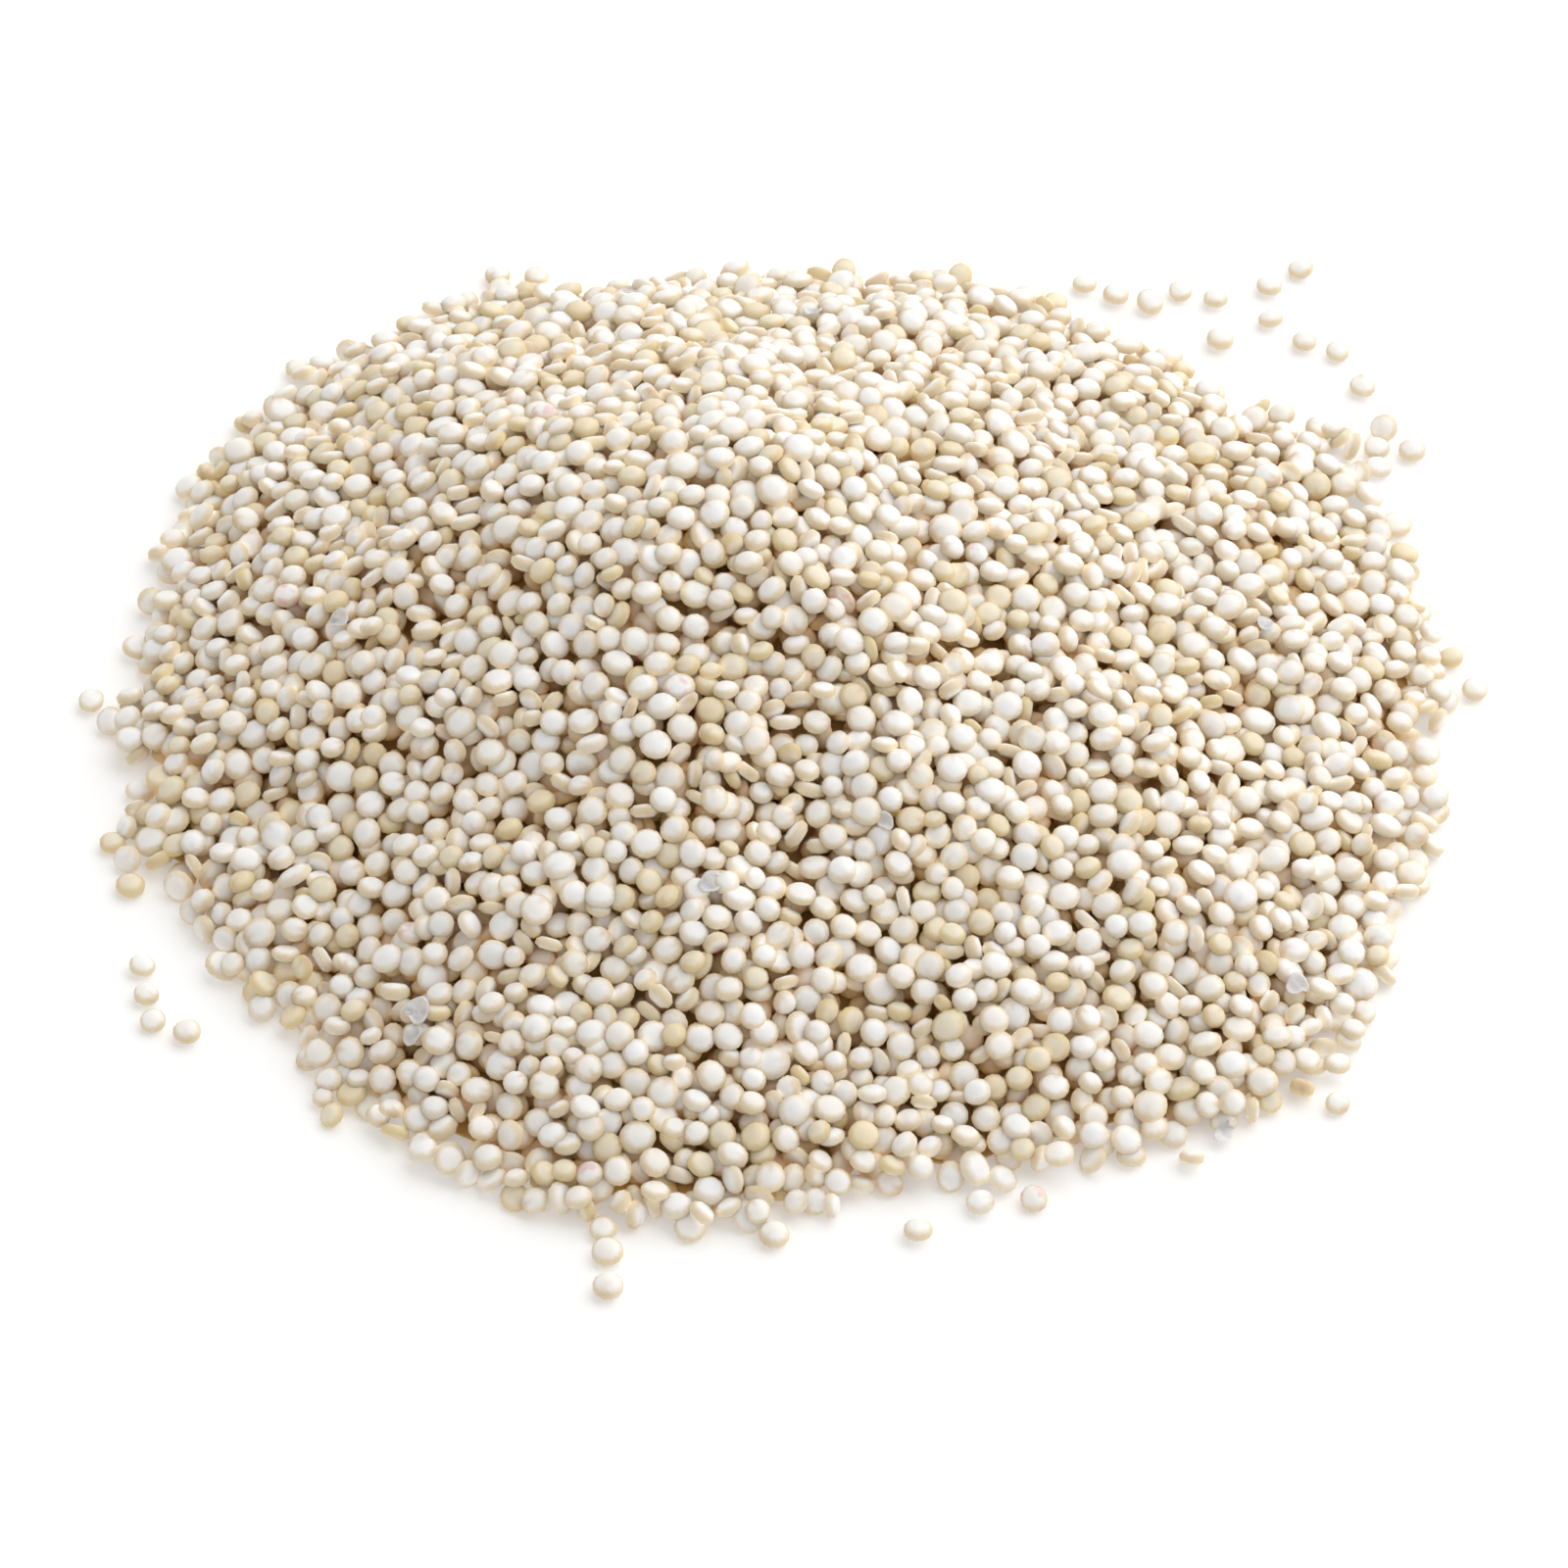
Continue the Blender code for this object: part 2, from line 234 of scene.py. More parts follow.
class QuinoaSizes(bpy.types.PropertyGroup):
    """Sizes of the heap and its grains."""

    outline_radius: length("Outline radius", "Mean distance from the middle to the heap's edge", 50.2)
    heap_height: length("Heap height", "Height of the summit", 20.0)
    edge_height: length("Edge height", "Height of the layer at the edge", 1.1)
    summit_x: coordinate("Summit X", "Where the summit lies", -8.0)
    summit_y: coordinate("Summit Y", "Where the summit lies", 8.0)
    summit_rounding: FloatProperty(name="Summit rounding", description="Rounded share of the radius",
                                   default=0.14)
    hollow_x: coordinate("Hollow X", "Dip at the left foot", -30.5)
    hollow_y: coordinate("Hollow Y", "Dip at the left foot", -14.6)
    hollow_radius: length("Hollow radius", "Radius of the dip", 8.0)
    hollow_depth: length("Hollow depth", "Depth of the dip", 1.2)
    grain_width: length("Grain width", "Width of the common grain", 2.12)
    grain_thickness: length("Grain thickness", "Thickness of the common grain", 1.12)
    nesting: length("Nesting", "How far a grain sinks between the ones that it first touches", 0.20)
    layer_depth: length("Layer depth", "Depth of loose grains over the core", 3.4)
    seed: IntProperty(name="Seed", description="Which heap of all the like ones", default=11)


class QuinoaColours(bpy.types.PropertyGroup):
    """Colours of the grains and the stage."""

    chalky_face: colour("Chalky face", "#FDFDFC")
    milky_face: colour("Milky face", "#FDFCFA")
    cream_face: colour("Cream face", "#FCF9F3")
    tan_face: colour("Tan face", "#F1E6CC")
    golden_face: colour("Golden face", "#F1DFBC")
    pale_rim: colour("Pale rim", "#E9DBC2")
    cream_rim: colour("Cream rim", "#E4D1AD")
    tan_rim: colour("Tan rim", "#DFC895")
    beak: colour("Beak", "#C8A67E")
    blush: colour("Blush spot", "#DD9BA6")
    husk: colour("Husk", "#FBF8FA")
    # Painted shade: the tan that grains lower in the heap, and the core, are tinted with
    painted_shade: colour("Shaded seed", "#EEBB6C")
    floor: colour("Floor", "#FCFBFA")


class QuinoaStage(bpy.types.PropertyGroup):
    """Camera and lights."""

    elevation: FloatProperty(name="Camera elevation", description="Angle above the horizon",
                             subtype="ANGLE", default=float(np.radians(46.5)))
    distance: length("Camera distance", "From the middle of the picture on the floor", 750.0)
    pixels_per_mm: FloatProperty(name="Pixels per mm",
                                 description="Scale at the middle of a 1600 pixel picture", default=13.8)
    key_power: FloatProperty(name="Key light", description="Power of the main light", unit="POWER",
                             default=19.4)
    sky: FloatProperty(name="Sky", description="Strength of the even light from all round", default=0.45)
    sky_colour: colour("Sky", "#FFFFFF")


def outline_radius(bearing, sizes):
    """Distance to the heap's edge in mm: the mean radius plus a cosine for each lobe."""
    radius = np.full_like(bearing, sizes.outline_radius / MM)
    for waves, swing, crest in OUTLINE_LOBES:
        radius = radius + swing * np.cos(waves * (bearing - np.radians(crest)))
    return radius


def edge_radius(bearing, sizes):
    """Distance to the ragged edge in mm: the outline, the short edge waves, and a bell-shaped swing for
    each bulge."""
    radius = outline_radius(bearing, sizes)
    for waves, swing, crest in EDGE_WAVES:
        radius = radius + swing * np.cos(waves * (bearing - np.radians(crest)))
    for crest, swing, width in EDGE_BULGES:
        turn = np.angle(np.exp(1j * (bearing - np.radians(crest))))
        radius = radius + swing * np.exp(-((turn / np.radians(width)) ** 2))
    return radius


def surface_height(x, y, sizes):
    """Height of the heap in mm: a cone, rounded at its summit, over contours that shrink from the outline
    to the summit, with slow sine waves and one shallow hollow."""
    top = np.array([sizes.summit_x, sizes.summit_y]) / MM
    share = np.hypot(x, y) / outline_radius(np.arctan2(y, x), sizes)
    for _ in range(6):
        px, py = x - (1.0 - share) * top[0], y - (1.0 - share) * top[1]
        share = np.clip(np.hypot(px, py) / outline_radius(np.arctan2(py, px), sizes), 0.0, 1.0)
    round_off = sizes.summit_rounding
    steep = np.sqrt(1.0 + round_off**2)
    cone = (steep - np.sqrt(share**2 + round_off**2)) / (steep - round_off)
    edge = sizes.edge_height / MM
    z = edge + (sizes.heap_height / MM - edge) * cone
    fade = np.clip((1.0 - share) * 6.0, 0.0, 1.0)
    for bearing, wave, swing, phase in SLOPE_WAVES:
        along = x * np.cos(np.radians(bearing)) + y * np.sin(np.radians(bearing))
        z = z + fade * swing * np.sin(2.0 * np.pi * along / wave + phase)
    away = (x - sizes.hollow_x / MM) ** 2 + (y - sizes.hollow_y / MM) ** 2
    return z - fade * sizes.hollow_depth / MM * np.exp(-away / (sizes.hollow_radius / MM) ** 2)


def crossing_waves(x, y, waves):
    """Sum of sine waves over the plan, each with its radians per mm along x and y and its phase."""
    return sum(np.sin(along * x + across * y + phase) for along, across, phase in waves)


class Bed:
    """Square net of heights in mm that grains are set down on, with the heap's height as the goal."""

    def __init__(self, sizes, half_side=60.0, cell=0.12):
        self.cell, self.start = cell, -half_side
        line = np.arange(-half_side, half_side + cell, cell)
        x, y = np.meshgrid(line, line)
        self.goal = surface_height(x, y, sizes)
        room = edge_radius(np.arctan2(y, x), sizes) - np.hypot(x, y)
        bare = (crossing_waves(x, y, BARE_WAVES) > BARE_OVER) & (room < BARE_BAND)
        self.room = np.where(bare, NO_ROOM, room + RAGGED_SWING * crossing_waves(x, y, RAGGED_WAVES))
        core = self.goal - sizes.layer_depth / MM
        self.height = np.where((room > CORE_BEGINS) & (core > 0.0), core, 0.0)
        rise_y, rise_x = np.gradient(self.goal, cell)
        normal = np.stack([-rise_x, -rise_y, np.ones_like(x)], -1)
        self.normal = normal / np.linalg.norm(normal, axis=-1, keepdims=True)

    def cells(self, x, y):
        """Whole cell numbers of places."""
        return ((y - self.start) / self.cell).astype(int), ((x - self.start) / self.cell).astype(int)

    def shells(self, x, y, axis, half_width, half_thick):
        """Under and upper side of an oblate ellipsoid over the cells round each place. A point p is on it
        where p.Q.p = 1, with Q = 1/a2 across the axis and 1/c2 along it, a quadratic in the height."""
        reach = int(np.ceil(half_width.max() / self.cell)) + 1
        span = np.arange(-reach, reach + 1)
        row, col = self.cells(x, y)
        rows, cols = row[:, None] + span, col[:, None] + span
        dx = (cols * self.cell + self.start - x[:, None])[:, None, :]
        dy = (rows * self.cell + self.start - y[:, None])[:, :, None]
        flat, steep = 1.0 / half_width**2, 1.0 / half_thick**2 - 1.0 / half_width**2
        nx, ny, nz = axis.T

        def spread(value):
            return value[:, None, None]

        across = spread(nx * nz * steep) * dx + spread(ny * nz * steep) * dy
        level = (spread(flat + nx * nx * steep) * dx**2 + spread(flat + ny * ny * steep) * dy**2
                 + spread(2.0 * nx * ny * steep) * dx * dy)
        upright = spread(flat + nz * nz * steep)
        inside = across**2 - upright * (level - 1.0)
        root = np.sqrt(np.maximum(inside, 0.0))
        low = np.where(inside > 0.0, (-across - root) / upright, np.inf)
        high = np.where(inside > 0.0, (-across + root) / upright, -np.inf)
        return rows[:, :, None], cols[:, None, :], low, high

    def rest(self, x, y, axis, half_width, half_thick):
        """Height at which each grain, let down straight, first touches what lies below."""
        rows, cols, low, _ = self.shells(x, y, axis, half_width, half_thick)
        return (self.height[rows, cols] - low).max((1, 2))

    def set_down(self, x, y, z, axis, half_width, half_thick):
        """Adds one grain's upper side to the heights."""
        rows, cols, _, high = self.shells(x, y, axis, half_width, half_thick)
        here = self.height[rows[0], cols[0]]
        self.height[rows[0], cols[0]] = np.maximum(here, z + high[0])


def unit(vectors):
    """Vectors scaled to length one."""
    return vectors / np.linalg.norm(vectors, axis=-1, keepdims=True)


def drawn_size(rng, sizes, kind):
    """Half width and half thickness in mm of one grain of a kind, as uneven as real ones."""
    _, wide, thick = GRAIN_KINDS[kind]
    width = sizes.grain_width / MM * wide * np.clip(rng.normal(1.0, 0.09), 0.76, 1.22)
    thickness = sizes.grain_thickness / MM * thick * np.clip(rng.normal(1.0, 0.10), 0.72, 1.28)
    return 0.5 * width, 0.5 * min(thickness, 0.85 * width)


def stray_grains(sizes):
    """Places, axes and half sizes in mm of the stray grains, from their solids' boxes, nearly flat."""
    rng = np.random.default_rng(sizes.seed + 1)
    boxes = np.array([[list(corner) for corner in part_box(name)] for name in STRAY_NODES]) / MM
    low, high = boxes[:, 0], boxes[:, 1]
    half_width = 0.25 * (high - low)[:, :2].sum(1)
    half_thick = np.minimum(0.5 * (high - low)[:, 2], 0.56 * half_width)
    axis = unit(np.column_stack([rng.normal(0.0, 0.10, (len(low), 2)), np.ones(len(low))]))
    rise = half_height(axis[:, 2], half_width, half_thick)
    place = np.column_stack([0.5 * (low + high)[:, :2], rise])
    return place, axis, half_width, half_thick


def half_height(upright, half_width, half_thick):
    """Half the height of an oblate ellipsoid whose unit axis has this upright part."""
    return np.sqrt(half_width**2 * (1.0 - upright**2) + half_thick**2 * upright**2)


def settle(rng, bed, spot, half_width, half_thick):
    """The deepest place for one grain near a spot: it tries some places and leans, and then some more
    close to the best. Gives x, y, z, its axis and how far its middle is over the heap's height."""
    wide, thick = np.full(TRIES, half_width), np.full(TRIES, half_thick)
    place = spot + rng.normal(0.0, FIRST_SCATTER, (TRIES, 2))
    row, col = bed.cells(place[:, 0], place[:, 1])
    lean = rng.choice(LEANS, p=LEAN_SHARES)
    axis = unit(bed.normal[row, col] + rng.normal(0.0, lean, 3) + rng.normal(0.0, 0.12, (TRIES, 3)))
    axis = axis * np.sign(axis[:, 2:])
    for again in (True, False):
        z = bed.rest(place[:, 0], place[:, 1], axis, wide, thick)
        row, col = bed.cells(place[:, 0], place[:, 1])
        best = int(np.argmin(z - bed.goal[row, col]))
        if again:
            place = place[best] + np.vstack([[0.0, 0.0], rng.normal(0.0, NEXT_SCATTER, (TRIES - 1, 2))])
            axis = unit(axis[best] + np.vstack([[0.0] * 3, rng.normal(0.0, 0.10, (TRIES - 1, 3))]))
            axis = axis * np.sign(axis[:, 2:])
    return place[best, 0], place[best, 1], z[best], axis[best], z[best] - bed.goal[row[best], col[best]]


def pour_grains(rng, sizes, bed):
    """Settles grains until the heap is full. Each round visits a loose net of spots in random order. A
    grain stays if its top, once it has sunk in between its neighbours, stands hardly over the heap's
    height there."""
    kinds = list(GRAIN_KINDS)
    shares = np.array([GRAIN_KINDS[k][0] for k in kinds])
    shares = shares / shares.sum()
    line = np.arange(-SPOT_HALF, SPOT_HALF, SPOT_PITCH)
    grains = []
    for turn in range(POUR_ROUNDS):
        late = turn >= POUR_ROUNDS - LATE_ROUNDS
        nest = sizes.nesting / MM * (LATE_NESTING if late else 1.0)
        gx, gy = np.meshgrid(line + 0.5 * SPOT_PITCH * (turn % 2), line)
        scatter = rng.uniform(-0.5, 0.5, (gx.size, 2)) * SPOT_PITCH
        spots = np.column_stack([gx.ravel(), gy.ravel()]) + scatter
        row, col = bed.cells(spots[:, 0], spots[:, 1])
        room = bed.room[row, col]
        lone = (room > LONE_SPOT) & (rng.uniform(0.0, 1.0, len(spots)) < LONE_SHARE) & (turn == 0)
        low = bed.height[row, col] < bed.goal[row, col] - LEAST_GAP
        spots = spots[((room > SPOT_ROOM) | lone) & low]
        for spot in spots[rng.permutation(len(spots))]:
            row, col = bed.cells(spot[:1], spot[1:])
            if bed.height[row[0], col[0]] > bed.goal[row[0], col[0]] - LEAST_GAP:
                continue
            kind = int(rng.choice(len(kinds), p=shares))
            half_width, half_thick = drawn_size(rng, sizes, kinds[kind])
            x, y, z, axis, over = settle(rng, bed, spot, half_width, half_thick)
            rise = half_height(axis[2], half_width, half_thick)
            row, col = bed.cells(np.array([x]), np.array([y]))
            outside = bed.room[row[0], col[0]] < (LONE_REST if turn == 0 else REST_ROOM)
            if over + rise - nest > np.clip(rng.normal(*PROUD), 0.0, PROUD_MOST) or outside:
                continue
            z = max(z - nest, rise)
            one = np.array([half_width]), np.array([half_thick])
            bed.set_down(np.array([x]), np.array([y]), z, axis[None], *one)
            grains.append((kind, x, y, z, *axis, half_width, half_thick))
    return np.array(grains), kinds


def tint_marked(grains, kinds, bed):
    """Gives each marked place's top grain, the nearest one by plan distance and depth, its marked kind."""
    row, col = bed.cells(grains[:, 1], grains[:, 2])
    depth = np.maximum(bed.goal[row, col] - grains[:, 3], 0.0)
    for kind, spots in MARKED_GRAINS.items():
        for x, y in spots:
            away = np.hypot(grains[:, 1] - x, grains[:, 2] - y) + 1.5 * depth
            grains[np.argmin(away), 0] = kinds.index(kind)


def ring_turns():
    """Bearings of the points of each ring of a grain, every other ring turned by half a step."""
    step = 2.0 * np.pi / GRAIN_SIDES
    return (np.arange(GRAIN_SIDES) + 0.5 * (np.arange(len(GRAIN_PROFILE) - 2)[:, None] % 2)) * step


def grain_shapes(rng):
    """A few uneven unit grains. Each is the profile turned round its axis, with its width swung by two and
    three waves round the rim and pushed out at the beak, the germ's tip, one face a little fuller than
    the other, and one side a little thicker."""
    rings = GRAIN_PROFILE[1:-1]
    turn = ring_turns()
    shapes = []
    for _ in range(SHAPE_COUNT):
        swing2, swing3 = rng.uniform(0.0, 0.055), rng.uniform(0.0, 0.02)
        phase2, phase3, phase1 = rng.uniform(0.0, 2.0 * np.pi, 3)
        tip = rng.uniform(0.0, 0.09) * np.exp(-((np.angle(np.exp(1j * turn)) / 0.50) ** 2))
        out = 1.0 + swing2 * np.cos(2.0 * turn + phase2) + swing3 * np.cos(3.0 * turn + phase3) + tip
        full = rng.uniform(0.86, 1.0, 2)
        flat = np.where(rings[:, :1] < 0.9, rng.uniform(0.90, 1.12), 1.0)
        wedge = 1.0 + rng.uniform(0.0, 0.10) * rings[:, :1] * np.cos(turn + phase1)
        tall = (np.where(rings[:, 1] > 0.0, full[0], full[1]) * rings[:, 1])[:, None] * wedge
        wide = rings[:, :1] * flat * out
        body = np.stack([wide * np.cos(turn), wide * np.sin(turn), tall], -1)
        shapes.append(np.vstack([[[0.0, 0.0, full[0]]], body.reshape(-1, 3), [[0.0, 0.0, -full[1]]]]))
    return np.array(shapes)


def grain_faces():
    """Corner numbers of one grain's faces, and each corner's place in its cell of the map: the grain is
    opened out from its upper pole, so its rings are circles and its lower pole is the outermost one."""
    rings, sides = len(GRAIN_PROFILE) - 2, GRAIN_SIDES
    last = 1 + rings * sides
    faces, spots = [], []
    for k in range(sides):
        after = (k + 1) % sides
        here, there, middle = k, k + 1, k + 0.5
        faces.append((0, 1 + k, 1 + after))
        spots.append(((0, middle), (1, here), (1, there)))
        for ring in range(rings - 1):
            base = 1 + ring * sides
            faces.append((base + k, base + sides + k, base + sides + after, base + after))
            spots.append(((ring + 1, here), (ring + 2, here), (ring + 2, there), (ring + 1, there)))
        base = 1 + (rings - 1) * sides
        faces.append((last, base + after, base + k))
        spots.append(((rings + 1, middle), (rings, there), (rings, here)))
    order = np.concatenate([np.array(s, float) for s in spots])
    turn = (order[:, 1] + 0.5 * ((order[:, 0] + 1) % 2)) * 2.0 * np.pi / sides
    radius = MAP_RINGS[order[:, 0].astype(int)]
    return faces, np.column_stack([radius * np.cos(turn), radius * np.sin(turn)])


def grain_mesh(name, rng, sizes, shapes, place, axis, half_width, half_thick):
    """All grains of one kind as one mesh, in whole arrays: unit shape times its half sizes, spun on its
    own axis, turned so that the axis points as asked, and moved to its place. No point goes below the
    floor."""
    count = len(place)
    points = shapes[rng.integers(0, len(shapes), count)]
    points = points * np.column_stack([half_width, half_width, half_thick])[:, None, :]
    own = points.copy()
    spin = rng.uniform(0.0, 2.0 * np.pi, count)
    side = unit(np.cross(axis, unit(np.array([0.31, 0.17, 0.11]) + axis[:, ::-1])))
    other = np.cross(axis, side)
    first = np.cos(spin)[:, None] * side + np.sin(spin)[:, None] * other
    second = np.cross(axis, first)
    turned = (points[:, :, :1] * first[:, None] + points[:, :, 1:2] * second[:, None]
              + points[:, :, 2:] * axis[:, None])
    points = turned + place[:, None]
    points[..., 2] = np.maximum(points[..., 2], 0.0)
    x, y, z = points.reshape(-1, 3).T
    # Depth of each point below the heap's surface, faded out near the edge: the material paints shade by it
    within = outline_radius(np.arctan2(y, x), sizes) - np.hypot(x, y)
    deep = (surface_height(x, y, sizes) - z) * np.clip(within / PAINTED_SHADE_FADE, 0.0, 1.0)
    points = points * MM

    faces, spots = grain_faces()
    per_grain = points.shape[1]
    face_sizes = np.array([len(f) for f in faces])
    corners = np.concatenate([np.array(f) for f in faces])
    all_corners = (corners[None] + np.arange(count)[:, None] * per_grain).ravel()
    starts = np.concatenate([[0], np.cumsum(face_sizes)[:-1]])
    all_starts = (starts[None] + np.arange(count)[:, None] * len(corners)).ravel()

    mesh = bpy.data.meshes.new(name)
    mesh.vertices.add(count * per_grain)
    mesh.vertices.foreach_set("co", points.ravel())
    mesh.loops.add(len(all_corners))
    mesh.loops.foreach_set("vertex_index", all_corners.astype(np.int32))
    mesh.polygons.add(count * len(faces))
    mesh.polygons.foreach_set("loop_start", all_starts.astype(np.int32))
    mesh.polygons.foreach_set("use_smooth", np.ones(count * len(faces), bool))
    mesh.update(calc_edges=True)

    ring = np.concatenate([[0.0], np.repeat(GRAIN_PROFILE[1:-1, 0], GRAIN_SIDES), [0.0]])
    add_values(mesh, "rimward", "FLOAT", np.tile(ring, count))
    add_values(mesh, "tone", "FLOAT", np.repeat(rng.uniform(0.0, 1.0, count), per_grain))
    near_tip = np.exp(-((np.angle(np.exp(1j * ring_turns())) / 0.42) ** 2)).ravel()
    near_tip = np.concatenate([[0.0], near_tip, [0.0]]) * ring
    strength = np.clip(rng.normal(0.25, 0.40, count), 0.0, 1.0)
    add_values(mesh, "beak", "FLOAT", (strength[:, None] * near_tip).ravel())
    add_values(mesh, "shade_depth_mm", "FLOAT", deep)
    apart = rng.uniform(-40.0, 40.0, (count, 3))
    add_values(mesh, "grain_mm", "FLOAT_VECTOR", (own + apart[:, None]).reshape(-1, 3))

    across = int(np.ceil(np.sqrt(count)))
    cell = np.column_stack([np.arange(count) % across, np.arange(count) // across])
    layer = mesh.uv_layers.new(name="OFBake")
    spread = (cell[:, None] + 0.5 + MAP_FILL * spots[None]) / across
    layer.data.foreach_set("uv", spread.astype(np.float32).ravel())
    mesh.validate()
    return mesh


def add_values(mesh, name, kind, values):
    """Stores one value or vector for each point of the mesh."""
    store = mesh.attributes.new(name, kind, "POINT")
    store.data.foreach_set("vector" if kind == "FLOAT_VECTOR" else "value",
                           np.ascontiguousarray(values, np.float32).ravel())


def show(name, mesh, material, nodes=()):
    """Links the finished piece, rides it on the one body and lets it stand for the solids it replaces."""
    obj = bpy.data.objects.new(name, mesh)
    bpy.context.scene.collection.objects.link(obj)
    mesh.materials.append(material)
    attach(obj, "root")
    if nodes:
        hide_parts(*nodes)
    return obj


def add_node(tree, kind, settings=None, values=None, links=None):
    """Adds a shader node with its settings, its input values and its links, each from (node, output)."""
    node = tree.nodes.new(kind)
    for key, value in (settings or {}).items():
        setattr(node, key, value)
    for key, value in (values or {}).items():
        node.inputs[key].default_value = value
    for key, (source, output) in (links or {}).items():
        tree.links.new(source.outputs[output], node.inputs[key])
    return node


def new_material(name):
    """An empty material with its shader and output."""
    material = bpy.data.materials.new(name)
    material.use_nodes = True
    tree = material.node_tree
    tree.nodes.clear()
    shader = add_node(tree, "ShaderNodeBsdfPrincipled")
    add_node(tree, "ShaderNodeOutputMaterial", links={"Surface": (shader, "BSDF")})
    return material, tree, shader


def dried_seed(name, colours, face, rim, roughness, blush=None):
    """Dried quinoa seed, washed and polished: a matt floury face, round it the germ, a darker and slightly
    waxy band, and at the germ's tip a small brown beak. Light enters it and comes out warmer. Grains
    further down in the heap get painted shade, a tan tint by their depth below the heap's surface."""
    material, tree, shader = new_material(name)
    shader.inputs["Roughness"].default_value = roughness
    shader.inputs["IOR"].default_value = 1.45
    shader.inputs["Specular IOR Level"].default_value = 0.35
    shader.subsurface_method = "BURLEY"
    shader.inputs["Subsurface Weight"].default_value = 1.0
    shader.inputs["Subsurface Radius"].default_value = (1.0, 0.97, 0.90)
    shader.inputs["Subsurface Scale"].default_value = 1.3 * MM

    rimward = add_node(tree, "ShaderNodeAttribute", {"attribute_name": "rimward"})
    tone = add_node(tree, "ShaderNodeAttribute", {"attribute_name": "tone"})
    tip = add_node(tree, "ShaderNodeAttribute", {"attribute_name": "beak"})
    own = add_node(tree, "ShaderNodeAttribute", {"attribute_name": "grain_mm"})
    # Cloudy patches of the flour, 0.7 mm across
    cloud = add_node(tree, "ShaderNodeTexNoise", values={"Scale": 1.4, "Detail": 2.0},
                     links={"Vector": (own, "Vector")})
    # Fine wrinkles of the skin, 0.12 mm apart
    skin = add_node(tree, "ShaderNodeTexNoise", values={"Scale": 8.0, "Detail": 2.0},
                    links={"Vector": (own, "Vector")})
    wander = add_node(tree, "ShaderNodeMath", {"operation": "MULTIPLY_ADD"}, {1: 0.36, 2: -0.18},
                      {0: (cloud, "Fac")})
    reach = add_node(tree, "ShaderNodeMath", {"operation": "ADD"},
                     links={0: (rimward, "Fac"), 1: (wander, 0)})
    # The germ, from about half way out to the rim
    band = add_node(tree, "ShaderNodeMapRange", {"interpolation_type": "SMOOTHSTEP"},
                    {"From Min": 0.55, "From Max": 1.02}, {"Value": (reach, 0)})
    # Faces run from the pure colour to one with a fifth of the rim's colour in it
    warm = tuple(0.80 * f + 0.20 * r for f, r in zip(face, rim))
    floury = add_node(tree, "ShaderNodeMix", {"data_type": "RGBA"}, {6: (*face, 1.0), 7: (*warm, 1.0)},
                      {0: (tone, "Fac")})
    last = add_node(tree, "ShaderNodeMix", {"data_type": "RGBA"}, {7: (*rim, 1.0)},
                    {0: (band, "Result"), 6: (floury, 2)})
    if blush is not None:
        # Pink stain, 1 mm across
        spot = add_node(tree, "ShaderNodeTexNoise", values={"Scale": 0.9, "Detail": 1.0},
                        links={"Vector": (own, "Vector")})
        stain = add_node(tree, "ShaderNodeMapRange",
                         values={"From Min": 0.52, "From Max": 0.66, "To Max": 0.55},
                         links={"Value": (spot, "Fac")})
        last = add_node(tree, "ShaderNodeMix", {"data_type": "RGBA"}, {7: (*blush, 1.0)},
                        {0: (stain, "Result"), 6: (last, 2)})
    last = add_node(tree, "ShaderNodeMix", {"data_type": "RGBA"}, {7: (*colours.beak, 1.0)},
                    {0: (tip, "Fac"), 6: (last, 2)})
    deep = add_node(tree, "ShaderNodeAttribute", {"attribute_name": "shade_depth_mm"})
    # Painted shade: a tan tint by depth, full from 1.7 mm below the heap's surface
    dim = add_node(tree, "ShaderNodeMapRange", {"interpolation_type": "SMOOTHSTEP"},
                   {"From Min": 0.2, "From Max": 1.7, "To Max": 0.66}, {"Value": (deep, "Fac")})
    last = add_node(tree, "ShaderNodeMix", {"data_type": "RGBA"}, {7: (*colours.painted_shade, 1.0)},
                    {0: (dim, "Result"), 6: (last, 2)})
    tree.links.new(last.outputs[2], shader.inputs["Base Color"])
    bump = add_node(tree, "ShaderNodeBump", values={"Strength": 0.35, "Distance": 0.03 * MM},
                    links={"Height": (skin, "Fac")})
    tree.links.new(bump.outputs[0], shader.inputs["Normal"])
    return material


def dry_husk(name, base):
    """Papery husk of the seed, thin as onion skin: silvery white, crinkled, with light passing into it."""
    material, tree, shader = new_material(name)
    shader.inputs["Roughness"].default_value = 0.30
    shader.inputs["Subsurface Weight"].default_value = 0.7
    shader.inputs["Subsurface Radius"].default_value = (1.0, 1.0, 1.0)
    shader.inputs["Subsurface Scale"].default_value = 0.6 * MM
    place = add_node(tree, "ShaderNodeTexCoord")
    # Crinkles 0.25 mm apart
    crinkle = add_node(tree, "ShaderNodeTexNoise", values={"Scale": 4000.0, "Detail": 3.0},
                       links={"Vector": (place, "Object")})
    # Painted shade: the husk is darker where its crinkles rise
    painted_shade = tuple(0.80 * c for c in base)
    mixed = add_node(tree, "ShaderNodeMix", {"data_type": "RGBA"}, {6: (*base, 1.0), 7: (*painted_shade, 1.0)},
                     {0: (crinkle, "Fac")})
    tree.links.new(mixed.outputs[2], shader.inputs["Base Color"])
    bump = add_node(tree, "ShaderNodeBump", values={"Strength": 0.8, "Distance": 0.10 * MM},
                    links={"Height": (crinkle, "Fac")})
    tree.links.new(bump.outputs[0], shader.inputs["Normal"])
    return material


